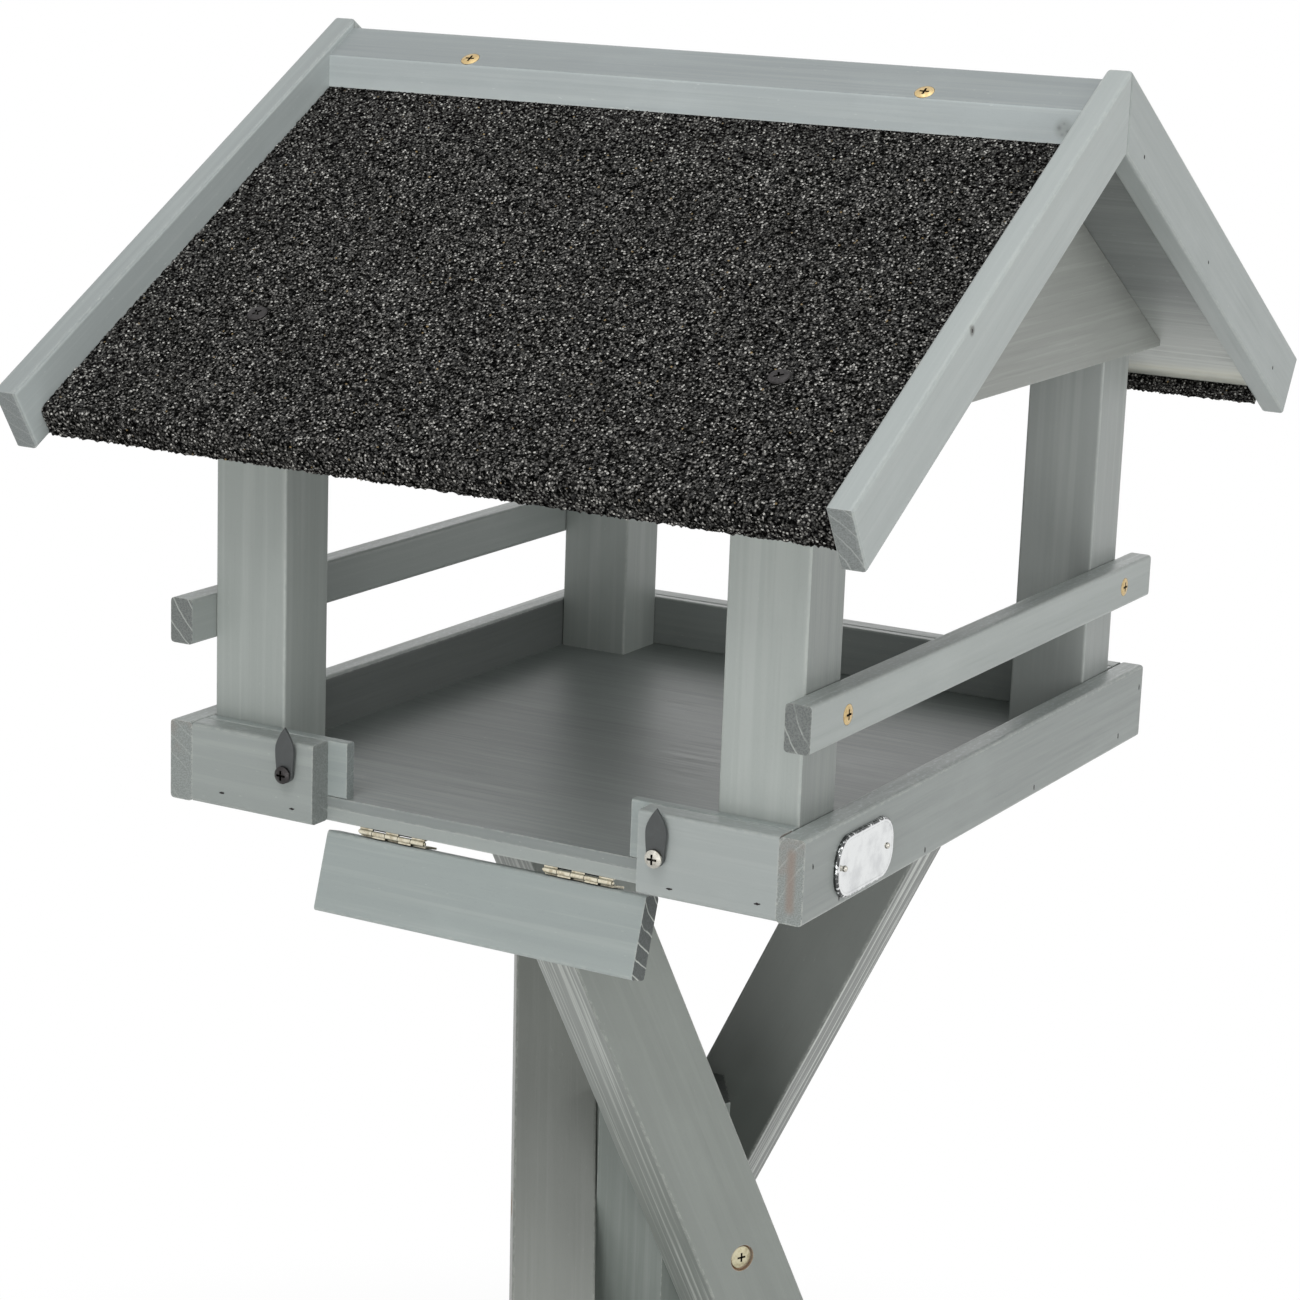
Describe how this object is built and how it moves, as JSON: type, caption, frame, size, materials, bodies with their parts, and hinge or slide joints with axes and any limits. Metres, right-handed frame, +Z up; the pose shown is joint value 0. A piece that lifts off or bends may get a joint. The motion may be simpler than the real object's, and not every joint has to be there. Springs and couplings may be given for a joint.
{
  "type": "bird table",
  "caption": "Painted timber bird table: a gabled felt-covered roof on corner posts over a railed feeding tray with a drop-down flap, carried by legs that cross at a hub.",
  "frame": {"origin": "on the ground, under the middle of the whole object's outline seen from above", "axes": "+Z up, -Y towards the front with the drop-down flap, +X to the right seen from the front, along the ridge"},
  "size_m": [0.5033, 0.5543, 1.1495],
  "materials": {
    "paint_x": "satin grey-blue glaze, grain along the ridge",
    "paint_y": "satin grey-blue glaze, grain front to back",
    "paint_z": "satin grey-blue glaze, grain upright",
    "paint_slope_front": "satin grey-blue glaze, grain down the front slope",
    "paint_slope_back": "satin grey-blue glaze, grain down the back slope",
    "paint_gable": "satin grey-blue glaze",
    "paint_flap": "satin grey-blue glaze",
    "paint_floor": "satin grey-blue glaze on thin board",
    "paint_panel": "thin grey-blue glaze on sheet board",
    "paint_leg_1": "satin grey-blue glaze, grain along the leg",
    "paint_leg_2": "satin grey-blue glaze, grain along the leg",
    "paint_leg_3": "satin grey-blue glaze, grain along the leg",
    "felt": "bitumen felt with coarse mineral granules",
    "steel": "zinc plated",
    "hinge_steel": "dull plated",
    "button_screw_dark": "dark plated",
    "brass": "yellow plated",
    "button_plastic": "satin dark grey"
  },
  "bodies": {
    "table": {"side_board_left": "paint_y", "side_board_right": "paint_y", "front_board_left": "paint_x", "front_board_right": "paint_x", "flap_stop_left": "paint_x", "flap_stop_right": "paint_x", "back_board": "paint_x", "back_packing": "paint_x", "floor_panel": "paint_floor", "floor_batten_front": "paint_floor", "floor_batten_back": "paint_floor", "leg_bearer_front": "paint_floor", "leg_bearer_back": "paint_floor", "post_front_left": "paint_z", "post_front_right": "paint_z", "post_back_left": "paint_z", "post_back_right": "paint_z", "side_rail_left": "paint_y", "side_rail_right": "paint_y", "rail_screw_front_left": "steel", "rail_screw_back_left": "steel", "rail_screw_front_right": "steel", "rail_screw_back_right": "steel", "roof_panel_front": "paint_panel", "roof_panel_back": "paint_panel", "roof_felt_front": "felt", "roof_felt_back": "felt", "bargeboard_front_left": "paint_slope_front", "bargeboard_front_right": "paint_slope_front", "bargeboard_back_left": "paint_slope_back", "bargeboard_back_right": "paint_slope_back", "ridge_cap": "paint_x", "cap_screw_front_left": "brass", "cap_screw_front_right": "brass", "cap_screw_back_left": "brass", "cap_screw_back_right": "brass", "gable_board_left": "paint_gable", "gable_board_right": "paint_gable", "hinge_leaf_fixed_left": "hinge_steel", "hinge_leaf_fixed_right": "hinge_steel", "hinge_pin_left": "hinge_steel", "hinge_pin_right": "hinge_steel", "button_screw_left": "button_screw_dark", "button_screw_right": "steel", "leg_1": "paint_leg_1", "leg_2": "paint_leg_2", "leg_3": "paint_leg_3", "stand_hub": "paint_z", "leg_screw_1": "brass", "leg_screw_2": "brass", "leg_screw_3": "brass"},
    "flap": {"flap": "paint_flap", "hinge_leaf_flap_left": "hinge_steel", "hinge_leaf_flap_right": "hinge_steel"},
    "left_button": {"turn_button_left": "button_plastic"},
    "right_button": {"turn_button_right": "button_plastic"}
  },
  "joints": [
    {"name": "flap_hinge", "type": "hinge", "parent": "table", "child": "flap", "pos_m": [0.02718, -0.19012, 0.7759], "axis": [1, 0, 0], "range_deg": [-163, 27]},
    {"name": "left_button_turn", "type": "hinge", "parent": "table", "child": "left_button", "pos_m": [-0.07732, -0.204, 0.802], "axis": [0, 1, 0], "continuous": true},
    {"name": "right_button_turn", "type": "hinge", "parent": "table", "child": "right_button", "pos_m": [0.12818, -0.204, 0.7975], "axis": [0, 1, 0], "continuous": true}
  ]
}
